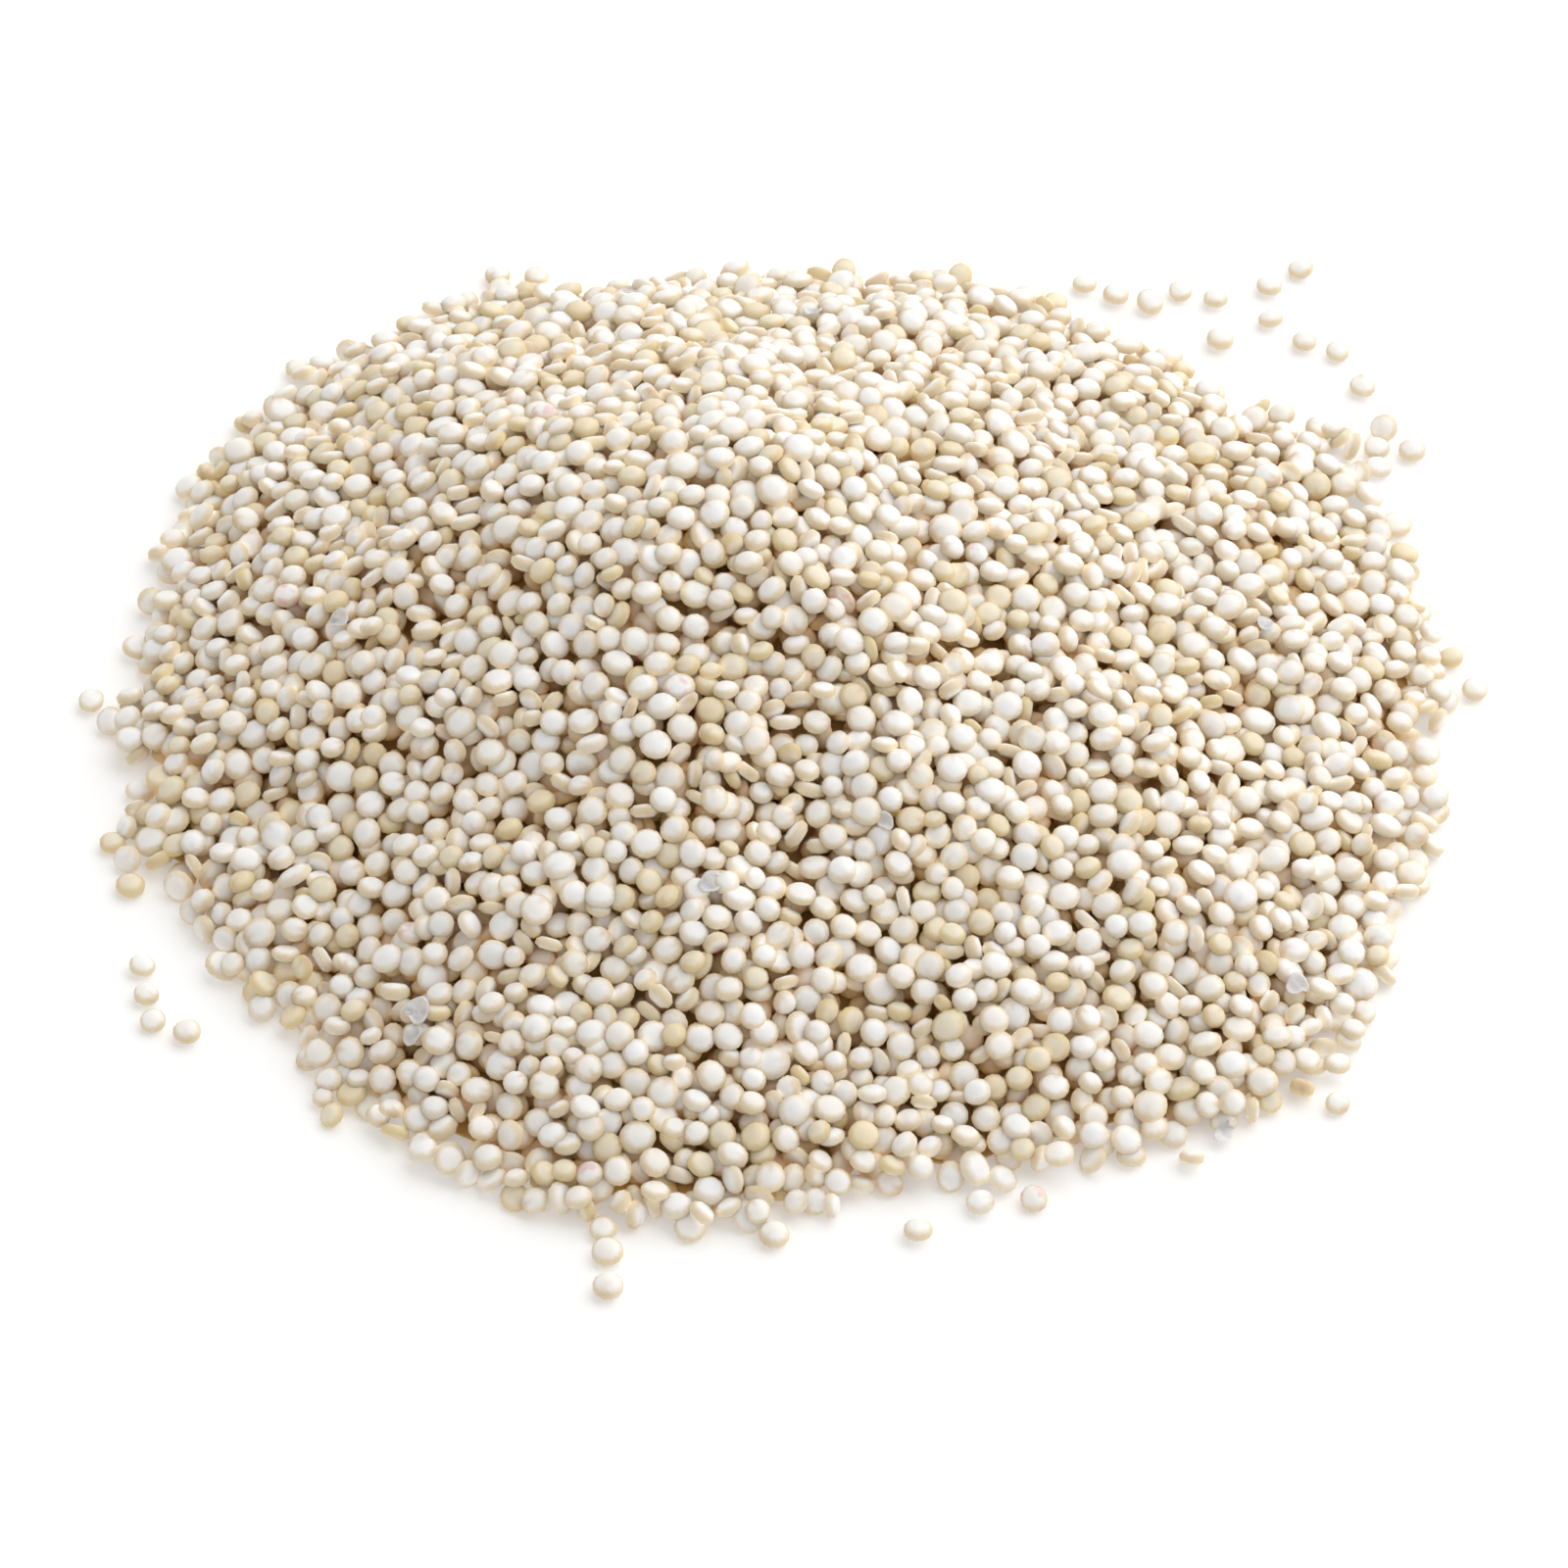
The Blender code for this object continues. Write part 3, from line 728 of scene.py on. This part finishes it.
def piled_core(name, base):
    """The inside of the heap, seen only between grains, in painted shade: the tan shade colour, darker
    still in cells.
    """
    material, tree, shader = new_material(name)
    shader.inputs["Roughness"].default_value = 0.9
    place = add_node(tree, "ShaderNodeTexCoord")
    # Painted shade: cells of a grain's size, 2 mm apart, darkened further
    cell = add_node(tree, "ShaderNodeTexVoronoi", values={"Scale": 500.0},
                    links={"Vector": (place, "Object")})
    dark = tuple(0.6 * c for c in base)
    mixed = add_node(tree, "ShaderNodeMix", {"data_type": "RGBA"}, {6: (*base, 1.0), 7: (*dark, 1.0)},
                     {0: (cell, "Distance")})
    tree.links.new(mixed.outputs[2], shader.inputs["Base Color"])
    return material


def white_board(name, base):
    """Matt white acrylic board, lit a little from below as on a product table, with no grain to see."""
    material, _, shader = new_material(name)
    shader.inputs["Base Color"].default_value = (*base, 1.0)
    shader.inputs["Roughness"].default_value = 0.7
    shader.inputs["Specular IOR Level"].default_value = 0.3
    shader.inputs["Emission Color"].default_value = (1.0, 1.0, 1.0, 1.0)
    shader.inputs["Emission Strength"].default_value = 0.20
    return material


def core_mesh(sizes):
    """The heap's inside: the heap's height less the loose layer, on a net of rings shrunk from the edge to
    the middle, closed below by a flat underside."""
    turns, rings = CORE_SIDES, CORE_RINGS
    bearing = np.arange(turns) * 2.0 * np.pi / turns
    share = np.linspace(1.0, 0.0, rings + 1)[:-1]
    radius = share[:, None] * (edge_radius(bearing, sizes) - CORE_INSET)
    x, y = radius * np.cos(bearing), radius * np.sin(bearing)
    # Bumps of a grain's size, set 0.25 mm lower so that no grain hangs over a gap
    bumps = 0.22 * (np.sin(2.9 * x + 0.6 * y) * np.sin(2.7 * y - 0.5 * x))
    z = np.maximum(surface_height(x, y, sizes) - sizes.layer_depth / MM - 0.25 + bumps, CORE_LEAST)
    top = np.stack([x, y, z], -1).reshape(-1, 3)
    peak = surface_height(np.zeros(1), np.zeros(1), sizes)[0] - sizes.layer_depth / MM
    foot = np.stack([x[0], y[0], np.full(turns, CORE_FOOT)], -1)
    points = np.vstack([top, [[0.0, 0.0, peak]], foot, [[0.0, 0.0, CORE_FOOT]]]) * MM
    k = np.arange(turns)
    after = (k + 1) % turns
    faces = []
    for ring in range(rings - 1):
        a, b = ring * turns, (ring + 1) * turns
        faces += np.column_stack([a + k, a + after, b + after, b + k]).tolist()
    last, middle, base = (rings - 1) * turns, rings * turns, rings * turns + 1
    faces += np.column_stack([last + k, last + after, np.full(turns, middle)]).tolist()
    faces += np.column_stack([base + k, base + after, after, k]).tolist()
    faces += np.column_stack([base + after, base + k, np.full(turns, base + turns)]).tolist()
    mesh = bpy.data.meshes.new("heap_core")
    mesh.from_pydata(points.tolist(), [], faces)
    mesh.polygons.foreach_set("use_smooth", np.ones(len(mesh.polygons), bool))
    return mesh


def grain_material(kind, colours):
    """The finish of each kind of grain; the blushed ones also have a pink stain."""
    name, face, rim, roughness = FINISHES[kind]
    blush = colours.blush if kind == "blushed_grains" else None
    return dried_seed(name, colours, getattr(colours, face), getattr(colours, rim), roughness, blush)


def height_under(points, pieces):
    """Height of the pieces at places in plan, by letting a ray down on each; the floor where none is."""
    found = []
    for x, y in points:
        hits = [piece.ray_cast((x, y, 0.1), (0.0, 0.0, -1.0)) for piece in pieces]
        found.append(max([place.z for hit, place, _, _ in hits if hit], default=0.0))
    return np.array(found)


def husk_mesh(rng, sizes, pieces):
    """Thin cupped flakes. Each is rings of a disc with three waves round its rim, raised by the square of
    the way out and by crinkles, laid along the slope on the grains below it, with a like underside."""
    turns, rings = HUSK_SIDES, HUSK_RINGS
    turn = np.arange(turns) * 2.0 * np.pi / turns
    way = np.linspace(0.0, 1.0, rings + 1)[1:, None]
    k = np.arange(turns)
    after = (k + 1) % turns
    # Points of one side, of which the underside has as many
    below = rings * turns + 1
    rim = 1 + (rings - 1) * turns
    drop = np.array([0.0, 0.0, HUSK_THICKNESS])
    points, faces = [], []
    for x, y, width in HUSK_FLAKES:
        phases = rng.uniform(0.0, 2.0 * np.pi, 3)
        out = 0.5 * width * (1.0 + 0.16 * np.cos(turn + phases[0]) + 0.12 * np.cos(2.0 * turn + phases[1])
                             + 0.08 * np.cos(3.0 * turn + phases[2]))
        px, py = way * out * np.cos(turn), way * out * np.sin(turn)
        cup = (HUSK_CUP * way**2 * np.cos(turn + phases[1]) ** 2
               + HUSK_CRINKLE * np.sin(5.0 * px + phases[0]) * np.sin(4.4 * py + phases[2]))
        plan = np.column_stack([px.ravel(), py.ravel()])
        under = height_under((plan + [x, y]) * MM, pieces) / MM
        near = np.array([x, y]) + np.array([[0.0, 0.0], [1.0, 0.0], [0.0, 1.0]])
        level = surface_height(near[:, 0], near[:, 1], sizes)
        slope = plan @ (level[1:] - level[0])
        base = np.percentile(under - slope, HUSK_CLEAR) + HUSK_GAP
        upper = np.column_stack([plan + [x, y], base + slope + cup.ravel()])
        middle = np.array([[x, y, base]])
        start = len(points) * 2 * below
        points.append(np.vstack([middle, upper, middle - drop, upper - drop]))
        top = [np.column_stack([np.zeros(turns, int), 1 + k, 1 + after])]
        for ring in range(rings - 1):
            a, b = 1 + ring * turns, 1 + (ring + 1) * turns
            top.append(np.column_stack([a + k, b + k, b + after, a + after]))
        for block in top:
            faces += (start + block).tolist() + (start + below + block[:, ::-1]).tolist()
        side = np.column_stack([rim + k, below + rim + k, below + rim + after, rim + after])
        faces += (start + side).tolist()
    mesh = bpy.data.meshes.new("husk_flakes")
    mesh.from_pydata((np.vstack(points) * MM).tolist(), [], faces)
    mesh.polygons.foreach_set("use_smooth", np.ones(len(mesh.polygons), bool))
    return mesh


class QUINOA_OT_core(bpy.types.Operator):
    """Add the inside of the heap, under the loose grains"""

    bl_idname = "quinoa.add_core"
    bl_label = "Heap core"

    def execute(self, context):
        scene = context.scene
        material = piled_core("shaded_seeds", scene.quinoa_colours.painted_shade)
        show("heap_core", core_mesh(scene.quinoa_sizes), material, ["quinoa_heap"])
        return {"FINISHED"}


class QUINOA_OT_grains(bpy.types.Operator):
    """Pour the loose grains over the core, one piece for each kind"""

    bl_idname = "quinoa.pour_grains"
    bl_label = "Loose grains"

    def execute(self, context):
        scene = context.scene
        sizes = scene.quinoa_sizes
        rng = np.random.default_rng(sizes.seed)
        bed = Bed(sizes)
        for place, axis, half_width, half_thick in zip(*stray_grains(sizes)):
            bed.set_down(place[:1], place[1:2], place[2], axis[None], half_width[None], half_thick[None])
        grains, kinds = pour_grains(rng, sizes, bed)
        tint_marked(grains, kinds, bed)
        shapes = grain_shapes(rng)
        for number, kind in enumerate(kinds):
            mine = grains[grains[:, 0] == number]
            mesh = grain_mesh(kind, rng, sizes, shapes, mine[:, 1:4], mine[:, 4:7], mine[:, 7], mine[:, 8])
            show(kind, mesh, grain_material(kind, scene.quinoa_colours), ["quinoa_heap"])
        return {"FINISHED"}


class QUINOA_OT_strays(bpy.types.Operator):
    """Lay the stray grains where the solids lie"""

    bl_idname = "quinoa.lay_strays"
    bl_label = "Stray grains"

    def execute(self, context):
        scene = context.scene
        sizes = scene.quinoa_sizes
        rng = np.random.default_rng(sizes.seed + 2)
        mesh = grain_mesh("stray_grains", rng, sizes, grain_shapes(rng), *stray_grains(sizes))
        show("stray_grains", mesh, grain_material("milky_grains", scene.quinoa_colours), STRAY_NODES)
        return {"FINISHED"}


class QUINOA_OT_husks(bpy.types.Operator):
    """Lay the husk flakes on the grains"""

    bl_idname = "quinoa.lay_husks"
    bl_label = "Husk flakes"

    def execute(self, context):
        scene = context.scene
        sizes = scene.quinoa_sizes
        pieces = [scene.objects[kind] for kind in GRAIN_KINDS]
        context.view_layer.update()
        mesh = husk_mesh(np.random.default_rng(sizes.seed + 3), sizes, pieces)
        show("husk_flakes", mesh, dry_husk("papery_husk", scene.quinoa_colours.husk))
        return {"FINISHED"}


class QUINOA_OT_stage(bpy.types.Operator):
    """Add the floor, the light and the camera"""

    bl_idname = "quinoa.add_stage"
    bl_label = "Stage"

    def execute(self, context):
        scene = context.scene
        stage, colours = scene.quinoa_stage, scene.quinoa_colours
        k = np.arange(FLOOR_SIDES)
        after = (k + 1) % FLOOR_SIDES
        turn = k * 2.0 * np.pi / FLOOR_SIDES
        radius = np.array(FLOOR_RADII)[:, None]
        drop = np.full((2, FLOOR_SIDES), -FLOOR_DROP)
        ring = np.stack([radius * np.cos(turn), radius * np.sin(turn), drop], -1)
        outer = np.column_stack([k, k + FLOOR_SIDES, after + FLOOR_SIDES, after])
        mesh = bpy.data.meshes.new("floor")
        mesh.from_pydata(ring.reshape(-1, 3).tolist(), [], [k.tolist()] + outer.tolist())
        floor = bpy.data.objects.new("floor", mesh)
        scene.collection.objects.link(floor)
        mesh.materials.append(white_board("matt_white_board", colours.floor))

        world = bpy.data.worlds.new("even_light")
        scene.world = world
        world.use_nodes = True
        background = world.node_tree.nodes["Background"]
        background.inputs["Color"].default_value = (*stage.sky_colour, 1.0)
        background.inputs["Strength"].default_value = stage.sky

        light = bpy.data.lights.new("key_light", "AREA")
        light.energy, light.size = stage.key_power, KEY_SIDE
        lamp = bpy.data.objects.new("key_light", light)
        bearing, rise = np.radians(KEY_BEARING), np.radians(KEY_RISE)
        level = KEY_AWAY * np.cos(rise)
        lamp.location = (level * np.cos(bearing), level * np.sin(bearing), KEY_AWAY * np.sin(rise))
        lamp.rotation_euler = (np.pi / 2.0 - rise, 0.0, bearing + np.pi / 2.0)
        scene.collection.objects.link(lamp)

        camera = bpy.data.cameras.new("camera")
        camera.sensor_width = SENSOR_MM
        camera.lens = SENSOR_MM * stage.pixels_per_mm * stage.distance / MM / PICTURE_PIXELS
        camera.clip_start, camera.clip_end = 0.01, 10.0
        eye = bpy.data.objects.new("camera", camera)
        rise = stage.elevation
        x, y = LOOK_AT
        eye.location = (x * MM, y * MM - stage.distance * np.cos(rise), stage.distance * np.sin(rise))
        eye.rotation_euler = (np.pi / 2.0 - rise, 0.0, 0.0)
        scene.collection.objects.link(eye)
        scene.camera = eye
        scene.view_settings.view_transform = "Standard"
        # The soft contrast of a bright studio picture
        scene.view_settings.gamma = 1.19
        return {"FINISHED"}


class QUINOA_PT_panel(bpy.types.Panel):
    """Steps and settings of the quinoa heap"""

    bl_idname = "QUINOA_PT_panel"
    bl_label = "Quinoa heap"
    bl_space_type = "VIEW_3D"
    bl_region_type = "UI"
    bl_category = "Quinoa"

    def draw(self, context):
        layout = self.layout
        for operator in OPERATORS:
            layout.operator(operator.bl_idname)
        for group in (context.scene.quinoa_sizes, context.scene.quinoa_colours, context.scene.quinoa_stage):
            box = layout.box()
            for key in group.__annotations__:
                box.prop(group, key)


OPERATORS = (QUINOA_OT_core, QUINOA_OT_grains, QUINOA_OT_strays, QUINOA_OT_husks, QUINOA_OT_stage)
CLASSES = (QuinoaSizes, QuinoaColours, QuinoaStage, *OPERATORS, QUINOA_PT_panel)


def register():
    """Makes the settings, the operators and the panel known to Blender."""
    for cls in CLASSES:
        bpy.utils.register_class(cls)
    bpy.types.Scene.quinoa_sizes = PointerProperty(type=QuinoaSizes)
    bpy.types.Scene.quinoa_colours = PointerProperty(type=QuinoaColours)
    bpy.types.Scene.quinoa_stage = PointerProperty(type=QuinoaStage)


def unregister():
    """Takes the settings, the operators and the panel out again."""
    del bpy.types.Scene.quinoa_sizes
    del bpy.types.Scene.quinoa_colours
    del bpy.types.Scene.quinoa_stage
    for cls in reversed(CLASSES):
        bpy.utils.unregister_class(cls)


def main():
    """Builds every piece and the stage."""
    register()
    bpy.ops.quinoa.add_core()
    bpy.ops.quinoa.pour_grains()
    bpy.ops.quinoa.lay_strays()
    bpy.ops.quinoa.lay_husks()
    bpy.ops.quinoa.add_stage()


if __name__ == "__main__":
    main()
